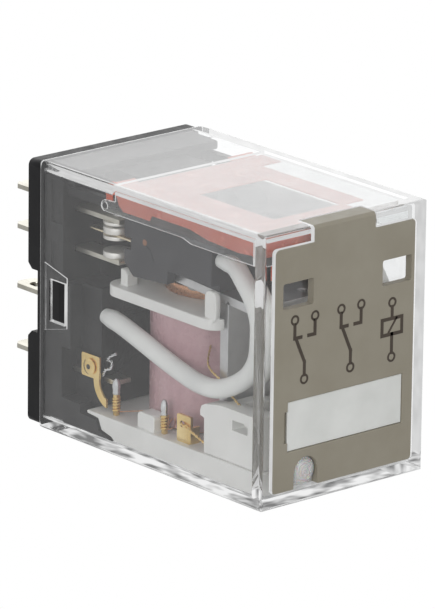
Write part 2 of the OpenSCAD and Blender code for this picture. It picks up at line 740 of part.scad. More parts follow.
module led_holder() {
    notch = rail_inner_w / 2;
    seat_z = rail_z[1] + 0.03;
    // side view of the wing that reaches past the yoke, with a small lip at its top
    wing = [[holder_y[1] - cut, seat_z], [-26.1, seat_z], [-26.1, -7], [-25.5, -6.85], [-25.5, -6.3],
        [-25.7, -5.8], [-26.3, -5.5], [-28.8, -5.1], [holder_y[0], -5.1], [holder_y[0], seat_z]];
    color([0.93, 0.93, 0.91]) difference() {
        union() {
            block([holder_x[0] + 1, holder_y[0], holder_z[0]], [holder_x[1], holder_y[1], holder_z[1]]);
            across(holder_x[0], -notch - 0.1) polygon(wing);
        }
        block([-half_w, holder_y[0] - cut, holder_z[0] - cut], [-notch + 0.05, 0, seat_z]);
        translate([lamp_x, holder_y[0] - cut, lamp_z]) rotate([-90, 0, 0])
            cylinder(h = 5, r = lamp_r + 0.05);
        block([-half_w, -32.6, -7.2], [holder_x[0] + 1.6, -30.3, -6.15]);
        block([holder_x[0] + 2.6, holder_y[0] - cut, -8.6], [holder_x[1] - 1.2, -29, holder_z[1] + cut]);
    }
}

module led() {
    color([0.95, 0.55, 0.4, 0.9]) translate([lamp_x, 0, lamp_z]) rotate([90, 0, 0]) {
        translate([0, 0, 29.8]) cylinder(h = 2.7, r = lamp_r);
        intersection() {
            translate([0, 0, 32.4]) cylinder(h = 1.4, r = lamp_r - 0.15);
            translate([0, 0, 32.4]) sphere(lamp_r - 0.15);
        }
    }
}

module led_clip() {
    color([0.88, 0.74, 0.38]) {
        difference() {
            across(link_x[0] - 0.1, link_x[1] - 0.1)
                rounded_area([clip_y[0], rail_z[1] + 0.01], [clip_y[1], -7.75], 0.2);
            translate([-half_w, clip_hole.y, clip_hole.z]) rotate([0, 90, 0]) cylinder(h = 4, r = 0.35);
        }
        block([link_x[1] - 0.1, clip_y[0] + 0.1, rail_z[1] + 0.01], [-7.3, clip_y[0] + 0.4, -8.9]);
    }
}

// Bare wire from the clip to the lamp's holder
module led_wire() {
    route = [[-8.75, -22.3, -8.6], [-8.8, -23, -8.75], [-8.75, -24.2, -9.15], [-8.7, -26.05, -9.8]];
    color([0.85, 0.8, 0.6]) swept_rod(smooth_path(route, 3), 0.16, 8);
}

module resistor() {
    x = 3.6;
    y = [-32.2, -28.6];
    z = -11.2;
    color([0.78, 0.62, 0.42]) translate([x, y[0], z]) rotate([-90, 0, 0]) {
        cylinder(h = y[1] - y[0], r = 0.75);
        for (end = [0.5, y[1] - y[0] - 0.5]) translate([0, 0, end - 0.4]) cylinder(h = 0.8, r = 0.95);
        translate([0, 0, -0.9]) cylinder(h = y[1] - y[0] + 1.8, r = 0.2, $fn = 16);
    }
}

// ---------- flexible leads ----------

module lead_sleeve(pole) color([0.93, 0.93, 0.91]) on_pole(pole)
    swept_tube(smooth_path(lead_route, lead_steps), sleeve_r, sleeve_bore_r, sleeve_sides);

module lead_braid(pole) color([0.75, 0.5, 0.33]) on_pole(pole)
    swept_rod(smooth_path(lead_route, lead_steps), braid_r, braid_sides);

// ---------- operation indicator ----------

// Clear lever over the contacts. It turns on the base's two pins and drops as the armature closes.
module indicator_lever() {
    arm = [[pivot.y, pivot.z - pivot_boss_r + fit], [pivot.y, pivot.z + pivot_boss_r - fit],
        [lever_back_y, 12.1], [lever_back_y, lever_top_z], [lever_front_y, lever_top_z],
        [lever_front_y, lever_low_z], [-24.5, lever_low_z], [-23.2, pivot.z - pivot_boss_r + fit]];
    color([0.92, 0.94, 0.96, 0.4]) difference() {
        union() {
            both_poles() across(-lever_w / 2, -lever_w / 2 + lever_t) {
                polygon(arm);
                translate([pivot.y, pivot.z]) circle(pivot_boss_r);
            }
            block([-lever_w / 2, lever_front_y, lever_top_z - lever_t],
                [lever_w / 2, lever_back_y, lever_top_z]);
            block([-lever_w / 2, lever_front_y, lever_low_z],
                [lever_w / 2, lever_front_y + lever_t, lever_top_z]);
        }
        both_poles() translate([-half_w, pivot.y, pivot.z]) rotate([0, 90, 0])
            cylinder(h = 3, r = pivot_hole_r);
    }
}

// Orange card inside the lever. Its two flags show in the nameplate's windows when the relay works.
module indicator_card() {
    top = lever_top_z - lever_t - card_gap;
    side_x = lever_w / 2 - lever_t - card_gap;
    front = lever_front_y + lever_t + card_gap;
    ear_y = -11.1;
    ear_x = 6.1;
    back_y = -12.1;
    // the front wall steps down here, to stay behind the nameplate beside its tab
    step_x = tab_x[1] + 0.2;
    step_z = [10.7, 11.45];
    plan = [[-side_x, ear_y], [-ear_x, ear_y], [-ear_x, back_y], [ear_x, back_y], [ear_x, ear_y],
        [side_x, ear_y], [side_x, -15.7], [6.6, -15.7], [6.6, -31], [step_x, -31], [step_x, front],
        [-side_x, front]];
    skirt = [[-12.9, top], [-13.3, 11.8], [-14, 11.3], [-18, 11.3], [-18.3, 11.9], [-24, 11.9],
        [-26.8, 11.4], [-31.4, 11.2], [front, 11.4], [front, top]];
    color([0.85, 0.3, 0.15]) {
        difference() {
            upward(top - card_t, top) polygon(plan);
            block([-4.9, -30.8, 0], [3.8, -19.6, half_h]);
        }
        across(-side_x, -side_x + card_t) polygon(skirt);
        both_poles() block([-side_x, back_y, 11.9], [-side_x + card_t, ear_y, top]);
        depth(front + card_t, front) {
            translate([-side_x, 11.3]) square([side_x + step_x, top - 11.3]);
            translate([step_x - 1, step_z[0]]) square([1, top - step_z[0]]);
            translate([step_x - cut, step_z[0]]) square([side_x - step_x + cut, step_z[1] - step_z[0]]);
            for (w = [window_left, window_right]) translate([w[0] - 0.3, flag_low_z])
                square([w[1] - w[0] + 0.5, step_z[1] - flag_low_z]);
        }
    }
}

cover();
nameplate();
write_on_label();
led_lens();
base();
nc_terminal(1);  // nc_terminal_1
nc_terminal(2);  // nc_terminal_2
no_terminal(1);  // no_terminal_1
no_terminal(2);  // no_terminal_2
com_terminal(1);  // com_terminal_1
com_terminal(2);  // com_terminal_2
coil_terminal(1);  // coil_terminal_1
coil_terminal(2);  // coil_terminal_2
nc_contacts();
no_contacts();
moving_spring(1);  // moving_spring_1
moving_spring(2);  // moving_spring_2
moving_contacts();
contact_carrier();
armature();
carrier_rivets();
return_spring();
yoke();
core();
shading_ring();
bobbin();
coil_winding();
coil_tape();
coil_link(1);  // coil_link_1
coil_link(2);  // coil_link_2
link_rivets();
wire_posts();
solder_caps();
coil_wires();
led_holder();
led();
led_clip();
led_wire();
resistor();
lead_sleeve(1);  // lead_sleeve_1
lead_sleeve(2);  // lead_sleeve_2
lead_braid(1);  // lead_braid_1
lead_braid(2);  // lead_braid_2
indicator_lever();
indicator_card();
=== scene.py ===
# Looks of the clear-cased plug-in relay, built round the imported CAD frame.
# Places and sizes of pieces are in millimetres in the CAD frame; MM turns them into Blender's metres.
import json
import math

import bmesh
import bpy
from mathutils import Matrix, Vector


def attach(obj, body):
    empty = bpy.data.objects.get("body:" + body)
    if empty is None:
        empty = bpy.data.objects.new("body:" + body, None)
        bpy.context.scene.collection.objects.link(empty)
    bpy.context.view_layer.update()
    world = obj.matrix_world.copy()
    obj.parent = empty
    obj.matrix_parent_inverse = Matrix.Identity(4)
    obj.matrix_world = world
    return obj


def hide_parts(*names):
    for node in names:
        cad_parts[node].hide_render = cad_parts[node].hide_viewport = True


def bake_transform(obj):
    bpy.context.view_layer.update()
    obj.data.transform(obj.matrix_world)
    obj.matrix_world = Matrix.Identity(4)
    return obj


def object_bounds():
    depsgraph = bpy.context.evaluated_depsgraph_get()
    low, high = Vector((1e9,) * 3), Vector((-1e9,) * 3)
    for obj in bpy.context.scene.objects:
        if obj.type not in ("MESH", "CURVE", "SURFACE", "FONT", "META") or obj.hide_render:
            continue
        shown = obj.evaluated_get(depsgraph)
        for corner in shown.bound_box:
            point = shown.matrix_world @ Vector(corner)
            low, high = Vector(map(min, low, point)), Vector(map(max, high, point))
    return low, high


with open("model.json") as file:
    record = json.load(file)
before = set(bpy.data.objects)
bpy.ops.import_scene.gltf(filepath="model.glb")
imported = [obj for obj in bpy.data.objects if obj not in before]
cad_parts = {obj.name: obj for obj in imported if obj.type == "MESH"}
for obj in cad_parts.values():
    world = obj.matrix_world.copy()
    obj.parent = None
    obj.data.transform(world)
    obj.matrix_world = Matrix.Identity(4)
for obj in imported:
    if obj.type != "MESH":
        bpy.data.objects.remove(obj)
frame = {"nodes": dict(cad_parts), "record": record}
cad_low, cad_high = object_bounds()
NODES = frame["nodes"]
SUBPARTS = {part["node"]: part for part in frame["record"]["subparts"]}
BODY_OF = {node: body for body, nodes in frame["record"]["behaviour"]["bodies"].items() for node in nodes}
MM = 0.001


# ---------- shader nodes ----------

def math_node(tree, operation, *values):
    """A maths node's result. Each value is a number or another node's output."""
    node = tree.nodes.new("ShaderNodeMath")
    node.operation = operation
    for socket, value in zip(node.inputs, values):
        if isinstance(value, float):
            socket.default_value = value
        else:
            tree.links.new(value, socket)
    return node.outputs[0]


def mixed(tree, factor, first, second):
    """The first shader where the factor is 0 and the second where it is 1."""
    mix = tree.nodes.new("ShaderNodeMixShader")
    tree.links.new(factor, mix.inputs[0])
    tree.links.new(first, mix.inputs[1])
    tree.links.new(second, mix.inputs[2])
    return mix.outputs[0]


def map_range(tree, value, from_low, from_high, low, high):
    node = tree.nodes.new("ShaderNodeMapRange")
    numbers = {"From Min": from_low, "From Max": from_high, "To Min": low, "To Max": high}
    for socket, number in numbers.items():
        node.inputs[socket].default_value = number
    tree.links.new(value, node.inputs["Value"])
    return node


def object_place(tree):
    """The X, Y and Z outputs of a point's place in the object."""
    place = tree.nodes.new("ShaderNodeSeparateXYZ")
    tree.links.new(tree.nodes.new("ShaderNodeTexCoord").outputs["Object"], place.inputs[0])
    return place.outputs


def noise(tree, scale, detail, rough=0.5, stretch=(1, 1, 1)):
    """Soft noise with about this many patches to the metre."""
    mapping = tree.nodes.new("ShaderNodeMapping")
    mapping.inputs["Scale"].default_value = stretch
    tree.links.new(tree.nodes.new("ShaderNodeTexCoord").outputs["Object"], mapping.inputs["Vector"])
    tex = tree.nodes.new("ShaderNodeTexNoise")
    tex.inputs["Scale"].default_value = scale
    tex.inputs["Detail"].default_value = detail
    tex.inputs["Roughness"].default_value = rough
    tree.links.new(mapping.outputs["Vector"], tex.inputs["Vector"])
    return tex.outputs["Fac"]


def remap(tree, fac, low, high):
    """The noise's middle range stretched to run from low to high."""
    return map_range(tree, fac, 0.3, 0.7, low, high).outputs["Result"]


def blend_colours(tree, fac, low, high):
    """A colour that runs from low to high with the noise."""
    node = tree.nodes.new("ShaderNodeMix")
    node.data_type = "RGBA"
    tree.links.new(remap(tree, fac, 0.0, 1.0), node.inputs["Factor"])
    node.inputs["A"].default_value = (*low, 1)
    node.inputs["B"].default_value = (*high, 1)
    return node.outputs["Result"]


def bump(tree, bsdf, height, distance):
    """Relief from 0 to this distance in metres."""
    node = tree.nodes.new("ShaderNodeBump")
    node.inputs["Distance"].default_value = distance
    tree.links.new(height, node.inputs["Height"])
    tree.links.new(node.outputs["Normal"], bsdf.inputs["Normal"])


# ---------- camera, stage and light ----------

# Brightness of the floor and of the room's dim and bright sides, as the object sees them
FLOOR_GLOW = 0.55
ROOM_DIM = 0.5
ROOM_BRIGHT = 1.6


def make_camera():
    """A long lens that looks at the label face and the left side from a little above."""
    azimuth, elevation, roll = (math.radians(a) for a in (-40.815, 17.224, 0.735))
    back = Vector((math.sin(azimuth) * math.cos(elevation), -math.cos(azimuth) * math.cos(elevation),
                   math.sin(elevation)))
    level = (-back).cross(Vector((0, 0, 1))).normalized()
    upright = level.cross(-back)
    right = math.cos(roll) * level + math.sin(roll) * upright
    up = -math.sin(roll) * level + math.cos(roll) * upright
    cam = bpy.data.cameras.new("camera")
    cam.sensor_width = 36
    cam.lens = 381.39
    cam.clip_start = 0.01
    cam.clip_end = 20
    obj = bpy.data.objects.new("camera", cam)
    obj.matrix_world = Matrix((
        (right.x, up.x, back.x, -0.40156),
        (right.y, up.y, back.y, -0.48189),
        (right.z, up.z, back.z, 0.19104),
        (0, 0, 0, 1)))
    bpy.context.scene.collection.objects.link(obj)
    bpy.context.scene.camera = obj


def area_light(name, place, size, power):
    """A square lamp of this size in metres and power in watts, aimed at the middle of the case."""
    lamp = bpy.data.lights.new(name, "AREA")
    lamp.size = size
    lamp.energy = power
    obj = bpy.data.objects.new(name, lamp)
    obj.location = place
    aim = Vector((0, -0.02, 0))
    obj.rotation_euler = (aim - Vector(place)).to_track_quat("-Z", "Y").to_euler()
    bpy.context.scene.collection.objects.link(obj)


def seen_directly(tree):
    """1 for what the camera sees itself or through clear plastic, 0 for light and reflections."""
    path = tree.nodes.new("ShaderNodeLightPath").outputs
    unscattered = math_node(tree, "LESS_THAN", path["Diffuse Depth"], 0.5)
    refracted = math_node(tree, "GREATER_THAN", path["Transmission Depth"], 0.5)
    through = math_node(tree, "MULTIPLY", refracted, unscattered)
    return math_node(tree, "MAXIMUM", path["Is Camera Ray"], through)


def backdrop(tree, kind, room_strength, target, white_strength=1.0):
    """White where it is seen directly, and the room's own brightness for all other rays."""
    white = tree.nodes.new(kind)
    room = tree.nodes.new(kind)
    for node, strength in ((white, white_strength), (room, room_strength)):
        node.inputs["Color"].default_value = (1, 1, 1, 1)
        if isinstance(strength, float):
            node.inputs["Strength"].default_value = strength
        else:
            tree.links.new(strength, node.inputs["Strength"])
    tree.links.new(mixed(tree, seen_directly(tree), room.outputs[0], white.outputs[0]), target)


def shaded(tree):
    """Brightness of the floor: painted shade, uneven and under the case's footprint, where the clear case
    shows what is below it, white elsewhere.
    """
    place = object_place(tree)
    case_back = -2 * MM
    middle = (cad_low[1] + case_back) / 2
    x_share = math_node(tree, "DIVIDE", math_node(tree, "ABSOLUTE", place["X"]), cad_high[0])
    y_offset = math_node(tree, "SUBTRACT", place["Y"], middle)
    y_share = math_node(tree, "DIVIDE", math_node(tree, "ABSOLUTE", y_offset), middle - cad_low[1])
    share = math_node(tree, "MAXIMUM", x_share, y_share)
    # painted shade: darker, blotched floor inside the case's footprint
    shade = map_range(tree, share, 0.9, 1.06, 0.0, 1.0)
    tree.links.new(remap(tree, noise(tree, 330, 1, 0.4), 0.3, 0.85), shade.inputs["To Min"])
    refractions = tree.nodes.new("ShaderNodeLightPath").outputs["Transmission Depth"]
    bare = math_node(tree, "LESS_THAN", refractions, 0.5)
    return math_node(tree, "MAXIMUM", shade.outputs["Result"], bare)


def make_floor():
    """A pale floor for everything above it. It isn't there for a camera below it."""
    mesh = bpy.data.meshes.new("floor")
    reach = 3.0
    gap = 0.03 * MM
    low = cad_low[2] - gap
    corners = [(-reach, -reach, low), (reach, -reach, low), (reach, reach, low), (-reach, reach, low)]
    mesh.from_pydata(corners, [], [(0, 1, 2, 3)])
    floor = bpy.data.objects.new("floor", mesh)
    bpy.context.scene.collection.objects.link(floor)
    mat = bpy.data.materials.new("stage_white")
    mat.use_nodes = True
    tree = mat.node_tree
    tree.nodes.remove(tree.nodes["Principled BSDF"])
    output = tree.nodes["Material Output"].inputs["Surface"]
    backdrop(tree, "ShaderNodeEmission", FLOOR_GLOW, output, shaded(tree))
    from_below = tree.nodes.new("ShaderNodeNewGeometry").outputs["Backfacing"]
    unseen = tree.nodes.new("ShaderNodeBsdfTransparent")
    tree.links.new(mixed(tree, from_below, output.links[0].from_socket, unseen.outputs[0]), output)
    mesh.materials.append(mat)


def make_world():
    """A grey room with one bright softbox high behind the object, which the top face mirrors."""
    world = bpy.data.worlds.new("studio")
    world.use_nodes = True
    tree = world.node_tree
    direction = tree.nodes.new("ShaderNodeTexCoord").outputs["Generated"]
    lean = tree.nodes.new("ShaderNodeVectorMath")
    lean.operation = "DOT_PRODUCT"
    tree.links.new(direction, lean.inputs[0])
    lean.inputs[1].default_value = (0.62, 0.72, 0.30)
    level = map_range(tree, lean.outputs["Value"], 0.5, 0.95, ROOM_DIM, ROOM_BRIGHT)
    level.interpolation_type = "SMOOTHSTEP"
    output = tree.nodes["World Output"].inputs["Surface"]
    backdrop(tree, "ShaderNodeBackground", level.outputs["Result"], output)
    bpy.context.scene.world = world


def make_lights():
    """A soft key from the left, a weaker light in front and one above."""
    area_light("key", (-0.6, -0.35, 0.2), 0.3, 1.8)
    area_light("front", (0.15, -0.7, 0.3), 0.35, 1.4)
    area_light("top", (0.1, 0.1, 0.75), 0.6, 0.6)
    bpy.context.scene.view_settings.view_transform = "Standard"


# ---------- materials ----------

def principled(name, **values):
    """A new material with its node tree and its Principled shader, set to these values."""
    mat = bpy.data.materials.new(name)
    mat.use_nodes = True
    bsdf = mat.node_tree.nodes["Principled BSDF"]
    for key, value in values.items():
        bsdf.inputs[key.replace("_", " ")].default_value = value
    return mat, mat.node_tree, bsdf


def moulded(name, low, high, roughness, grain, depth, specular=0.5, cloud=260, stretch=(1, 1, 1)):
    """Moulded plastic: slight colour variation (cloud), uneven gloss, and a fine grain of this depth."""
    mat, tree, bsdf = principled(name, Specular_IOR_Level=specular)
    colour = blend_colours(tree, noise(tree, cloud, 4, 0.5, stretch), low, high)
    tree.links.new(colour, bsdf.inputs["Base Color"])
    tree.links.new(remap(tree, noise(tree, 900, 3), *roughness), bsdf.inputs["Roughness"])
    bump(tree, bsdf, noise(tree, grain, 4, 0.6, stretch), depth)
    return mat


def metal(name, low, high, roughness, stretch=(1, 1, 1), scale=1500, depth=0.000004):
    """Rolled or plated metal: drawn grain, tarnish and uneven gloss."""
    mat, tree, bsdf = principled(name, Metallic=1.0)
    tree.links.new(blend_colours(tree, noise(tree, 420, 5, 0.6), low, high), bsdf.inputs["Base Color"])
    grain = noise(tree, scale, 3, 0.6, stretch)
    tree.links.new(remap(tree, grain, *roughness), bsdf.inputs["Roughness"])
    bump(tree, bsdf, grain, depth)
    return mat


def painted_edge_glow(tree):
    """Strength of a painted glow that stands for the light a clear wall carries to its edges: even, but
    blotched grey and white along the bottom rim as a painted reflection of the studio.
    """
    rim_low, rim_high = cad_low[2] + 0.9 * MM, cad_low[2] + 1.4 * MM
    glow = map_range(tree, noise(tree, 420, 1, 0.4), 0.35, 0.65, 0.0, 1.0)
    for end, at_rim, elsewhere in (("To Min", 0.2, 0.6), ("To Max", 0.9, 0.7)):
        level = map_range(tree, object_place(tree)["Z"], rim_low, rim_high, at_rim, elsewhere)
        tree.links.new(level.outputs["Result"], glow.inputs[end])
    return glow.outputs["Result"]


def clear(name, tint, ior=1.585, roughness=(0.0, 0.01)):
    """Clear polymer with faint moulding waves. Light for what is inside goes straight through. A view that
    is mirrored inside the wall ends in a painted glow, an emission that stands for the studio light the wall
    carries to its edges."""
    mat, tree, bsdf = principled(name, Base_Color=(*tint, 1), IOR=ior, Transmission_Weight=1.0)
    tree.links.new(remap(tree, noise(tree, 700, 2), *roughness), bsdf.inputs["Roughness"])
    bump(tree, bsdf, noise(tree, 160, 2), 0.0000015)
    path = tree.nodes.new("ShaderNodeLightPath").outputs
    through = tree.nodes.new("ShaderNodeBsdfTransparent")
    through.inputs["Color"].default_value = (0.95, 0.95, 0.95, 1)
    # painted reflection: an emission where a mirrored view would meet the studio light
    glow = tree.nodes.new("ShaderNodeEmission")
    tree.links.new(painted_edge_glow(tree), glow.inputs["Strength"])
    from_inside = tree.nodes.new("ShaderNodeNewGeometry").outputs["Backfacing"]
    leaving = mixed(tree, from_inside, through.outputs[0], glow.outputs[0])
    shader = mixed(tree, path["Is Reflection Ray"], bsdf.outputs[0], leaving)
    shader = mixed(tree, path["Is Diffuse Ray"], shader, through.outputs[0])
    shader = mixed(tree, path["Is Shadow Ray"], shader, through.outputs[0])
    tree.links.new(shader, tree.nodes["Material Output"].inputs["Surface"])
    return mat


def tinted(name, low, high, clarity):
    """Dyed or milky plastic that glows a little with the light behind it."""
    mat, tree, bsdf = principled(name, IOR=1.49, Transmission_Weight=clarity, Subsurface_Weight=0.35,
                                 Subsurface_Scale=0.0006, Coat_Weight=0.6, Coat_Roughness=0.05)
    tree.links.new(blend_colours(tree, noise(tree, 300, 3), low, high), bsdf.inputs["Base Color"])
    tree.links.new(remap(tree, noise(tree, 900, 3), 0.15, 0.3), bsdf.inputs["Roughness"])
    bump(tree, bsdf, noise(tree, 1500, 3), 0.000006)
    return mat


# One finish for each material slot. Colours are linear and run from low to high; grain depths are in metres.
MATERIALS = {
    "clear_case": lambda: clear("clear_case", (0.965, 0.97, 0.972)),
    "clear_lens": lambda: tinted("clear_lens", (0.8, 0.8, 0.79), (0.92, 0.92, 0.91), 0.55),
    "clear_lever": lambda: clear("clear_lever", (0.97, 0.98, 0.98), roughness=(0.02, 0.06)),
    "orange_card": lambda: tinted("orange_card", (0.52, 0.05, 0.006), (0.66, 0.095, 0.014), 0.15),
    "khaki_plate": lambda: moulded(
        "khaki_plate", (0.245, 0.222, 0.172), (0.272, 0.25, 0.198), (0.42, 0.55), 5200, 0.00001),
    "white_card": lambda: moulded(
        "white_card", (0.6, 0.61, 0.59), (0.68, 0.69, 0.67), (0.5, 0.6), 6000, 0.000004),
    "dark_base": lambda: moulded(
        "dark_base", (0.006, 0.006, 0.007), (0.01, 0.01, 0.011), (0.4, 0.52), 1800, 0.000006, specular=0.28),
    "dark_carrier": lambda: moulded(
        "dark_carrier", (0.024, 0.024, 0.028), (0.034, 0.034, 0.039), (0.4, 0.5), 1500, 0.000003),
    "white_moulding": lambda: moulded(
        "white_moulding", (0.72, 0.72, 0.7), (0.8, 0.8, 0.78), (0.35, 0.5), 3500, 0.00001),
    "sleeve": lambda: moulded("sleeve", (0.7, 0.71, 0.7), (0.8, 0.81, 0.79), (0.3, 0.45), 2200, 0.00002),
    "mauve_tape": lambda: moulded(
        "mauve_tape", (0.44, 0.27, 0.29), (0.58, 0.38, 0.41), (0.2, 0.34), 1400, 0.00002,
        cloud=520, stretch=(1, 1, 0.12)),
    "resistor_body": lambda: moulded(
        "resistor_body", (0.5, 0.34, 0.18), (0.56, 0.4, 0.22), (0.3, 0.4), 2500, 0.00001),
    "lamp_body": lambda: clear("lamp_body", (0.9, 0.4, 0.3), ior=1.5, roughness=(0.15, 0.25)),
    "blade_plate": lambda: metal(
        "blade_plate", (0.52, 0.5, 0.43), (0.66, 0.64, 0.57), (0.26, 0.42), (1, 0.15, 1)),
    "contact_alloy": lambda: metal("contact_alloy", (0.78, 0.76, 0.72), (0.88, 0.87, 0.84), (0.38, 0.55)),
    "spring_bronze": lambda: metal(
        "spring_bronze", (0.72, 0.62, 0.44), (0.82, 0.73, 0.55), (0.2, 0.34), (1, 0.1, 1)),
    "plated_iron": lambda: metal("plated_iron", (0.55, 0.55, 0.56), (0.66, 0.66, 0.66), (0.28, 0.42)),
    "copper": lambda: metal("copper", (0.6, 0.3, 0.17), (0.75, 0.42, 0.26), (0.22, 0.36)),
    "gold_brass": lambda: metal("gold_brass", (0.8, 0.56, 0.2), (0.95, 0.74, 0.36), (0.14, 0.28)),
    "solder": lambda: metal(
        "solder", (0.65, 0.66, 0.67), (0.8, 0.81, 0.82), (0.1, 0.28), scale=700, depth=0.00004),
}
painted = {slot: make() for slot, make in MATERIALS.items()}


def trim_paint(name, low, high):
    """Ink, paint or resin for a small added detail that has no slot of its own."""
    return moulded(name, low, high, (0.4, 0.55), 5000, 0.000004)


# ---------- mesh work ----------

CREASE_ANGLE = math.radians(38)  # added pieces stay sharp above it


def mm_path(points):
    """Vectors, still in millimetres, for a path's points."""
    return [Vector(p) for p in points]


def smooth_path(points, steps):
    """A Catmull-Rom line through the points, as the CAD's leads have."""
    points = mm_path(points)
    line = []
    for i in range(len(points) - 1):
        before, a, b = points[max(i - 1, 0)], points[i], points[i + 1]
        after = points[min(i + 2, len(points) - 1)]
        for k in range(steps):
            t = k / steps
            line.append(0.5 * (2 * a + (b - before) * t + (2 * before - 5 * a + 4 * b - after) * t ** 2
                               + (3 * a - before - 3 * b + after) * t ** 3))
    return line + [points[-1]]


def path_frames(path):
    """Two directions square to the path at each point, turned as little as possible on the way."""
    last = len(path) - 1
    tangents = [(path[min(i + 1, last)] - path[max(i - 1, 0)]).normalized() for i in range(len(path))]
    side = tangents[0].orthogonal().normalized()
    found = []
    for tangent in tangents:
        side = (side - side.dot(tangent) * tangent).normalized()
        found.append((side, tangent.cross(side)))
    return found


def distances(path):
    """How far along the path each of its points lies."""
    walked = [0.0]
    for a, b in zip(path, path[1:]):
        walked.append(walked[-1] + (b - a).length)
    return walked


def ring(centre, side, other, radius, count):
    """Points evenly round a circle."""
    turns = [2 * math.pi * k / count for k in range(count)]
    return [centre + radius * (math.cos(turn) * side + math.sin(turn) * other) for turn in turns]


def band(first, second, count):
    """Faces between two rings that start at these vertex numbers."""
    following = [(k + 1) % count for k in range(count)]
    return [(first + k, first + after, second + after, second + k) for k, after in enumerate(following)]


def rod(path, radius, sides):
    """A round solid rod along a path."""
    verts, faces = [], []
    for i, (point, (side, other)) in enumerate(zip(path, path_frames(path))):
        verts += ring(point, side, other, radius, sides)
        if i:
            faces += band((i - 1) * sides, i * sides, sides)
    faces.append(tuple(reversed(range(sides))))
    faces.append(tuple(range((len(path) - 1) * sides, len(path) * sides)))
    return verts, faces


def hose(path, outer, bore, sides, taper_length):
    """An open-ended hose along a path. It narrows at both ends, as a shrunk sleeve does."""
    frames = path_frames(path)
    walked = distances(path)
    shrink = 0.18
    verts, faces = [], []
    outside = [(i, outer - shrink * max(0, 1 - min(walked[-1] - walked[i], walked[i]) / taper_length))
               for i in range(len(path))]
    inside = [(i, bore) for i in reversed(range(len(path)))]
    skin = outside + inside
    for i, radius in skin:
        verts += ring(path[i], *frames[i], radius, sides)
    for k in range(len(skin)):
        faces += band(k * sides, ((k + 1) % len(skin)) * sides, sides)
    return verts, faces


def turned(profile, centre, axis, sides):
    """A lathed form. The profile's points are (radius, distance along the axis), from end to end."""
    least_radius = 0.001
    axis = Vector(axis).normalized()
    side = axis.orthogonal().normalized()
    other = axis.cross(side)
    centre = Vector(centre)
    verts, faces = [], []
    for i, (radius, along) in enumerate(profile):
        verts += ring(centre + along * axis, side, other, max(radius, least_radius), sides)
        if i:
            faces += band((i - 1) * sides, i * sides, sides)
    faces.append(tuple(reversed(range(sides))))
    faces.append(tuple(range((len(profile) - 1) * sides, len(profile) * sides)))
    return verts, faces


def joined(*shapes):
    """One shape of several, each given as its vertices and faces."""
    verts, faces = [], []
    for more, its_faces in shapes:
        faces += [tuple(len(verts) + v for v in face) for face in its_faces]
        verts += more
    return verts, faces


def mirrored(shape):
    """The same shape on the other pole's side."""
    verts, faces = shape
    return [Vector((-v.x, v.y, v.z)) for v in verts], [tuple(reversed(face)) for face in faces]


def piece(name, shape, slot, material=None):
    """A new smooth-shaded object from a shape in millimetres."""
    verts, faces = shape
    mesh = bpy.data.meshes.new(name)
    mesh.from_pydata([v * MM for v in verts], [], faces)
    mesh.shade_smooth()
    mesh.set_sharp_from_angle(angle=CREASE_ANGLE)
    mesh.materials.append(material or painted[slot])
    obj = bpy.data.objects.new(name, mesh)
    bpy.context.scene.collection.objects.link(obj)
    return obj


# ---------- CAD nodes ----------

# Width in millimetres of the softened edge that each node's moulding, stamping or turning leaves
SOFT_EDGES = {
    "nameplate": 0.08, "write_on_label": 0.03, "indicator_lever": 0.06, "indicator_card": 0.03,
    "contact_carrier": 0.1, "base": 0.05, "bobbin": 0.12, "led_holder": 0.05,
    "armature": 0.06, "yoke": 0.08, "core": 0.06, "shading_ring": 0.06, "carrier_rivets": 0.05,
    "coil_tape": 0.04, "coil_link_1": 0.05, "coil_link_2": 0.05, "wire_posts": 0.06,
    "moving_spring_1": 0.03, "moving_spring_2": 0.03, "moving_contacts": 0.05, "nc_contacts": 0.05,
    "no_contacts": 0.05, "nc_terminal_1": 0.05, "nc_terminal_2": 0.05, "no_terminal_1": 0.05,
    "no_terminal_2": 0.05, "com_terminal_1": 0.05, "com_terminal_2": 0.05, "coil_terminal_1": 0.05,
    "coil_terminal_2": 0.05,
}
EDGE_ANGLE = math.radians(28)  # CAD edges sharper than this are rounded
FLAT_ANGLE = 0.002  # faces that meet below it are merged first
WELD = 2e-6
HELD_BACK = "led_holder"  # its thin walls leave less room than the edge's width


def paint_nodes():
    """Every CAD node in its slot's material."""
    for name, node in NODES.items():
        node.data.materials.clear()
        node.data.materials.append(painted[SUBPARTS[name]["material_slot"]])


def softened(name, width):
    """A copy of a CAD node with its sharp edges rounded, in the same place and on the same body."""
    form = bmesh.new()
    form.from_mesh(NODES[name].data)
    bmesh.ops.remove_doubles(form, verts=form.verts, dist=WELD)
    bmesh.ops.dissolve_limit(form, angle_limit=FLAT_ANGLE, verts=form.verts, edges=form.edges)
    sharp = [edge for edge in form.edges if edge.is_manifold and edge.calc_face_angle() > EDGE_ANGLE]
    bmesh.ops.bevel(form, geom=sharp, offset=width * MM, offset_type="OFFSET", segments=2, profile=0.5,
                    affect="EDGES", clamp_overlap=name == HELD_BACK)
    mesh = bpy.data.meshes.new(name + "_soft")
    form.to_mesh(mesh)
    form.free()
    mesh.shade_smooth()
    slot = SUBPARTS[name]["material_slot"]
    mesh.materials.append(painted[slot])
    obj = bpy.data.objects.new(name + "_soft", mesh)
    bpy.context.scene.collection.objects.link(obj)
    obj.modifiers.new("flat faces stay flat", "WEIGHTED_NORMAL").weight = 100
    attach(obj, BODY_OF[name])
    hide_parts(name)


# ---------- flexible leads and springs ----------

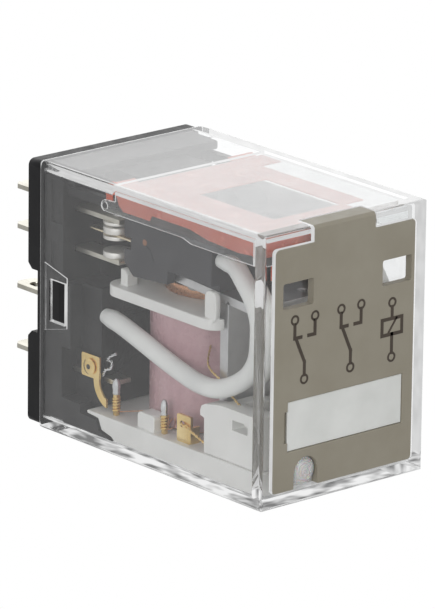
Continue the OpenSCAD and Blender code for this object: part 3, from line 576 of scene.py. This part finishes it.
# Centre line of one lead, from its common blade to the root of its moving spring
LEAD_ROUTE = [
    (-7.6, -9.35, -0.9), (-7.8, -11.2, -1), (-8, -13.5, -1.4), (-8.1, -16.2, -2.1), (-8.1, -18.9, -2.9),
    (-8.1, -21.6, -3.6), (-8.1, -24.2, -4.1), (-8.1, -26.8, -4), (-7.9, -29.2, -3.1), (-7.7, -31.2, -1.6),
    (-7.6, -32.3, 0.2), (-7.6, -32.6, 2.3), (-7.6, -32.5, 4.3), (-7.5, -31.5, 6.1), (-7.4, -29.9, 7.7),
    (-7.1, -28.2, 8.7), (-7, -26.1, 8.8)]


def twisted(path, radius, strands, strand_radius, pitch):
    """Strands laid round a path, one turn for each pitch of length."""
    frames = path_frames(path)
    walked = distances(path)
    rods = []
    for k in range(strands):
        line = []
        for point, (side, other), length in zip(path, frames, walked):
            turn = 2 * math.pi * (k / strands + length / pitch)
            line.append(point + radius * (math.cos(turn) * side + math.sin(turn) * other))
        rods.append(rod(line, strand_radius, 6))
    return joined(*rods)


def make_leads():
    """Sleeved stranded leads from the common blades round to the roots of the moving springs."""
    route = smooth_path(LEAD_ROUTE, 10)
    sleeve = hose(route, 0.97, 0.62, 24, 1.2)
    braid = twisted(route, 0.34, 6, 0.17, 3.2)
    for pole, turn in ((1, lambda shape: shape), (2, mirrored)):
        for kind, shape, slot in (("lead_sleeve", sleeve, "sleeve"), ("lead_braid", braid, "copper")):
            obj = piece(f"{kind}_{pole}_soft", turn(shape), slot)
            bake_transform(obj)
            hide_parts(f"{kind}_{pole}")


def helix(centre, radius, low, high, turns):
    """The centre line of an upright coil from one height to another."""
    cx, cy = centre
    per_turn = 20
    count = turns * per_turn
    line = []
    for i in range(count + 1):
        turn = 2 * math.pi * i / per_turn
        line.append(Vector((cx + radius * math.cos(turn), cy + radius * math.sin(turn),
                            low + (high - low) * i / count)))
    return line


def make_return_spring():
    """Fine tension spring behind the yoke, with a straight hook at each end."""
    coils = helix((0, -29.2), 0.95, -2.0, 3.2, 14)
    low_hook = mm_path([(0.2, -29.2, -2.8), (0.75, -29.2, -2.6)])
    high_hook = mm_path([(0.75, -29.2, 3.7), (0.2, -29.2, 4.0)])
    spring = piece("return_spring_wound", rod(low_hook + coils + high_hook, 0.13, 8), "plated_iron")
    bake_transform(spring)
    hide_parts("return_spring")


# ---------- coil circuit ----------

POST_X = -8.2
POST_YS = (-11.75, -19.2)


def blob(y, foot, crown, radius):
    """A drop of solder over the top of a wire post."""
    rise = crown - foot
    profile = [(0.34, 0), (0.42, 0.08 * rise), (0.8 * radius, 0.25 * rise), (radius, 0.5 * rise),
               (0.85 * radius, 0.75 * rise), (0.5 * radius, 0.93 * rise), (0.0, rise)]
    return turned(profile, (POST_X, y, foot), (0, 0, 1), 24)


def make_post_solder():
    """Solder drops on the wire posts and the winding ends wrapped below them."""
    near = joined(blob(POST_YS[0], -8.4, -6.7, 0.46), blob(POST_YS[1], -8.7, -7.0, 0.43))
    solder = piece("solder_blobs", joined(near, mirrored(near)), "solder")
    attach(solder, "root")
    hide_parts("solder_caps")
    wraps = joined(*(rod(helix((POST_X, y), 0.35, -10.15, -8.65, 5), 0.11, 8) for y in POST_YS))
    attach(piece("post_wraps", joined(wraps, mirrored(wraps)), "gold_brass"), "root")


def make_fine_wires():
    """Hair-thin winding ends, the lamp's twisted pair and the wire from the clip to the lamp board."""
    far_end = [(-8.2, -19.5, -10.1), (-7.6, -19.9, -9.9), (-6.9, -19.3, -9.6), (-6.5, -18.6, -9.2)]
    near_end = [(-8.2, -11.9, -10.2), (-7.5, -13.0, -10.0), (-6.6, -14.6, -9.7), (-6.3, -15.5, -9.4)]
    ends = joined(*(rod(smooth_path(line, 6), 0.06, 6) for line in (far_end, near_end)))
    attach(piece("winding_ends", joined(ends, mirrored(ends)), "copper"), "root")
    curl = smooth_path([(-7.95, -9.3, -7.1), (-8.1, -9.9, -6.3), (-8.0, -10.6, -6.0), (-7.8, -10.5, -5.4),
                        (-8.1, -10.2, -5.2), (-8.2, -10.7, -4.7), (-7.8, -11.2, -4.4)], 6)
    loop = twisted(curl, 0.09, 2, 0.08, 0.8)
    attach(piece("terminal_tinned_loop", joined(loop, mirrored(loop)), "solder"), "root")
    pair = smooth_path([(-7.4, -30, -5.35), (-7.4, -28.6, -4.6), (-7.2, -26.8, -3.6), (-7.1, -24.5, -2.4),
                        (-5.2, -22.6, -1.2)], 12)
    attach(piece("lamp_twisted_pair", twisted(pair, 0.07, 2, 0.065, 1.1), "gold_brass"), "root")
    clip_wire = smooth_path([(-8.75, -22.3, -8.6), (-8.8, -23, -8.75), (-8.75, -24.2, -9.15),
                             (-8.7, -26.05, -9.8)], 8)
    strand = piece("led_wire_twisted", twisted(clip_wire, 0.08, 2, 0.075, 1.0), "gold_brass")
    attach(strand, "root")
    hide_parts("led_wire")


def make_eyelets():
    """Rolled eyelets that hold the coil links to the coil blades, each with a dark disc on its outer face as
    painted shade where the hole would be.
    """
    profile = [(0.3, 0.0), (0.62, 0.0), (0.82, 0.08), (0.85, 0.2), (0.62, 0.3), (0.3, 0.3)]
    eyelet = turned(profile, (-8.45, -7.95, -6.35), (-1, 0, 0), 32)
    obj = piece("link_eyelets", joined(eyelet, mirrored(eyelet)), "gold_brass")
    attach(obj, "root")
    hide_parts("link_rivets")
    # painted shade: a dark disc over each eyelet's closed centre stands for the hole's darkness
    hole = turned([(0.27, 0.0), (0.27, 0.02)], (-8.75, -7.95, -6.35), (-1, 0, 0), 24)
    dark = trim_paint("eyelet_hole", (0.02, 0.015, 0.01), (0.035, 0.025, 0.015))
    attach(piece("eyelet_holes", joined(hole, mirrored(hole)), "gold_brass", dark), "root")


def make_tape_end():
    """The free end of the coil tape, lapped over its first turn."""
    centre_y, radius = -17.65, 6.8
    first_angle, sweep = 196, 26
    verts, faces = [], []
    steps = 14
    for i in range(steps + 1):
        turn = math.radians(first_angle + sweep * i / steps)
        for reach in (radius - 0.02, radius + 0.035):
            for z in (-10.3, 1.55):
                verts.append(Vector((reach * math.cos(turn), centre_y + reach * math.sin(turn), z)))
        if i:
            a, b = 4 * (i - 1), 4 * i
            faces += [(a, a + 1, b + 1, b), (a + 2, b + 2, b + 3, a + 3), (a, b, b + 2, a + 2),
                      (a + 1, a + 3, b + 3, b + 1)]
    faces += [(0, 2, 3, 1), (4 * steps, 4 * steps + 1, 4 * steps + 3, 4 * steps + 2)]
    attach(piece("coil_tape_end", (verts, faces), "mauve_tape"), "root")


# ---------- label face ----------

# The ink reaches from inside the nameplate's front to just proud of it
PRINT_DEEP = -35.94
PRINT_FACE = -35.975
INK_STEP = 0.002  # strokes that cross lie at slightly different heights


def stroke(start, end, width=0.36):
    """An inked line on the nameplate between two points given as (x, z)."""
    a, b = Vector((start[0], 0, start[1])), Vector((end[0], 0, end[1]))
    along = (b - a).normalized() * width / 2
    across = Vector((-along.z, 0, along.x))
    outline = [a - along - across, b + along - across, b + along + across, a - along + across]
    verts = [Vector((p.x, y, p.z)) for y in (PRINT_DEEP, PRINT_FACE) for p in outline]
    return verts, [(0, 1, 2, 3), (7, 6, 5, 4), (0, 4, 5, 1), (1, 5, 6, 2), (2, 6, 7, 3), (3, 7, 4, 0)]


def pin_ring(x, z):
    """The small circle that stands for a blade."""
    radius = 0.42
    turns = [math.pi * k / 10 for k in range(21)]
    corners = [(x + radius * math.cos(turn), z + radius * math.sin(turn)) for turn in turns]
    return [stroke(a, b, 0.2) for a, b in zip(corners, corners[1:])]


def changeover(x):
    """The wiring symbol of one changeover contact, with a ring at each of its three blades."""
    return [stroke((x, -0.9), (x, 0.4)), stroke((x, 0.4), (x - 1.05, 2.75)),
            stroke((x - 1.3, 4.4), (x - 1.3, 3.0)), stroke((x - 1.3, 3.0), (x - 0.5, 3.0)),
            stroke((x + 1.3, 4.4), (x + 1.3, 3.0)), stroke((x + 1.3, 3.0), (x + 0.5, 3.0)),
            *pin_ring(x, -1.35), *pin_ring(x - 1.3, 4.85), *pin_ring(x + 1.3, 4.85)]


def make_print():
    """Plain wiring symbols: two changeover contacts and a coil."""
    x, z = 6.2, 1.8
    coil = [stroke((x - 1.3, z - 0.8), (x + 1.3, z - 0.8)), stroke((x - 1.3, z + 0.8), (x + 1.3, z + 0.8)),
            stroke((x - 1.3, z - 0.8), (x - 1.3, z + 0.8)), stroke((x + 1.3, z - 0.8), (x + 1.3, z + 0.8)),
            stroke((x, z + 0.8), (x, z + 2.0)), stroke((x, z - 0.8), (x, z - 2.7)),
            stroke((x - 0.6, z - 0.8), (x + 0.6, z + 0.8), 0.22),
            *pin_ring(x, z + 2.45), *pin_ring(x, z - 3.15)]
    ink = trim_paint("brown_ink", (0.038, 0.027, 0.018), (0.055, 0.04, 0.028))
    strokes = [*changeover(-5.2), *changeover(0.8), *coil]
    for i, (verts, _) in enumerate(strokes):
        for vert in verts:
            vert.y -= INK_STEP * (i % 5)
    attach(piece("wiring_diagram", joined(*strokes), "khaki_plate", ink), "root")


def make_lens():
    """Milky lamp lens with moulded rings round a low dome."""
    rim, back, face = 1.45, 34.2, 35.4
    edge, height = 0.05, 0.48
    ridge_height, ridge_pitch = 0.022, 0.29
    profile = [(0.0, back), (rim, back), (rim, face)]
    steps = 48
    for i in range(1, steps + 1):
        radius = rim * (1 - i / steps)
        dome = height * (1 - (radius / rim) ** 2)
        ridge = ridge_height * math.cos(2 * math.pi * radius / ridge_pitch)
        profile.append((radius, face + edge + dome + ridge))
    lens = piece("led_lens_ringed", turned(profile, (-4.75, 0, -10.95), (0, -1, 0), 48), "clear_lens")
    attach(lens, "root")
    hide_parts("led_lens")


def make_resistor_bands():
    """Value rings on the lamp's resistor: two on its thick ends and two on its waist."""
    at_end, at_waist, width = 0.97, 0.77, 0.25
    red = ((0.2, 0.02, 0.01), (0.28, 0.03, 0.02))
    brown = ((0.1, 0.04, 0.015), (0.14, 0.06, 0.02))
    gold = ((0.5, 0.3, 0.06), (0.6, 0.38, 0.1))
    rings = ((-31.7, at_end, red), (-30.9, at_waist, red), (-30.2, at_waist, brown), (-29.1, at_end, gold))
    for i, (y, radius, colours) in enumerate(rings, 1):
        shape = turned([(radius, 0), (radius, width)], (3.6, y, -11.2), (0, 1, 0), 24)
        paint = trim_paint(f"resistor_ring_{i}", *colours)
        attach(piece(f"resistor_band_{i}", shape, "resistor_body", paint), "root")


def make_carrier_marks():
    """Gate scar of the carrier's moulding, and a dark line drawn down from it, which is a painted shadow
    line.
    """
    profile = [(0.0, 0.0), (0.3, 0.0), (0.33, 0.03), (0.2, 0.04), (0.0, 0.02)]
    scar = turned(profile, (-8.2, -15.93, 8.4), (-1, 0, 0), 20)
    copper_brown = trim_paint("gate_scar", (0.2, 0.09, 0.05), (0.28, 0.14, 0.08))
    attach(piece("carrier_gate_scar", scar, "dark_carrier", copper_brown), "armature")
    # painted shade: a dark line down the carrier's side
    line = smooth_path([(-8.19, -16.08, 8.10), (-8.19, -16.86, 7.66), (-8.19, -17.25, 6.72)], 8)
    painted_line_shade = trim_paint("painted_shade_line", (0.008, 0.008, 0.009), (0.014, 0.014, 0.015))
    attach(piece("carrier_painted_shade_line", rod(line, 0.06, 6), "dark_carrier", painted_line_shade), "armature")


make_camera()
make_floor()
make_world()
make_lights()
paint_nodes()
for node_name, edge_width in SOFT_EDGES.items():
    softened(node_name, edge_width)
make_leads()
make_return_spring()
make_post_solder()
make_fine_wires()
make_eyelets()
make_tape_end()
make_print()
make_lens()
make_resistor_bands()
make_carrier_marks()
